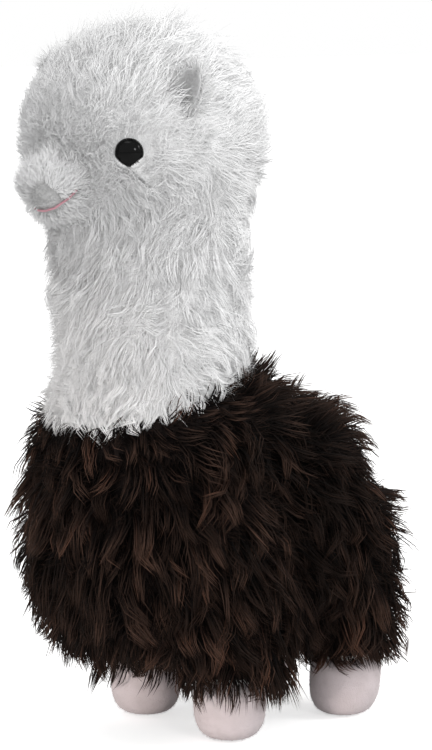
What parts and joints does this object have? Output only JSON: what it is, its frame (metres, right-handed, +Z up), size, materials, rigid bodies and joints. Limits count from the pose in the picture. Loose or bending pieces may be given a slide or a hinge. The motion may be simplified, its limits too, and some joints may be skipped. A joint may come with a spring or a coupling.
{
  "type": "plush llama",
  "caption": "Standing plush llama with a shaggy brown body, a fluffy white neck and head, small ears, black eyes, a stitched smile, pale feet and a short tail.",
  "frame": {"origin": "middle of the bounding box's underside, on the floor under the belly", "axes": "+Z up, -Y the way the llama faces, +X its left side"},
  "size_m": [0.1328, 0.1972, 0.3252],
  "materials": {
    "brown_pile": "long shaggy dark brown pile",
    "white_pile": "long fluffy white pile",
    "muzzle_pile": "short grey-white pile",
    "foot_pile": "short lilac-white pile",
    "ear_lining": "grey brushed cloth",
    "eye_plastic": "glossy black",
    "washer_plastic": "white",
    "pink_thread": "pink embroidery thread",
    "filling_fibre": "white polyester fibre"
  },
  "bodies": {
    "root": {"body_skin": "brown_pile", "ear_left": "white_pile", "ear_left_lining": "ear_lining", "ear_right": "white_pile", "ear_right_lining": "ear_lining", "eye_left": "eye_plastic", "eye_left_washer": "washer_plastic", "eye_right": "eye_plastic", "eye_right_washer": "washer_plastic", "foot_front_left": "foot_pile", "foot_front_right": "foot_pile", "foot_rear_left": "foot_pile", "foot_rear_right": "foot_pile", "mouth_stitching": "pink_thread", "muzzle": "muzzle_pile", "neck_and_head_skin": "white_pile", "stuffing": "filling_fibre", "tail": "brown_pile"}
  },
  "joints": []
}
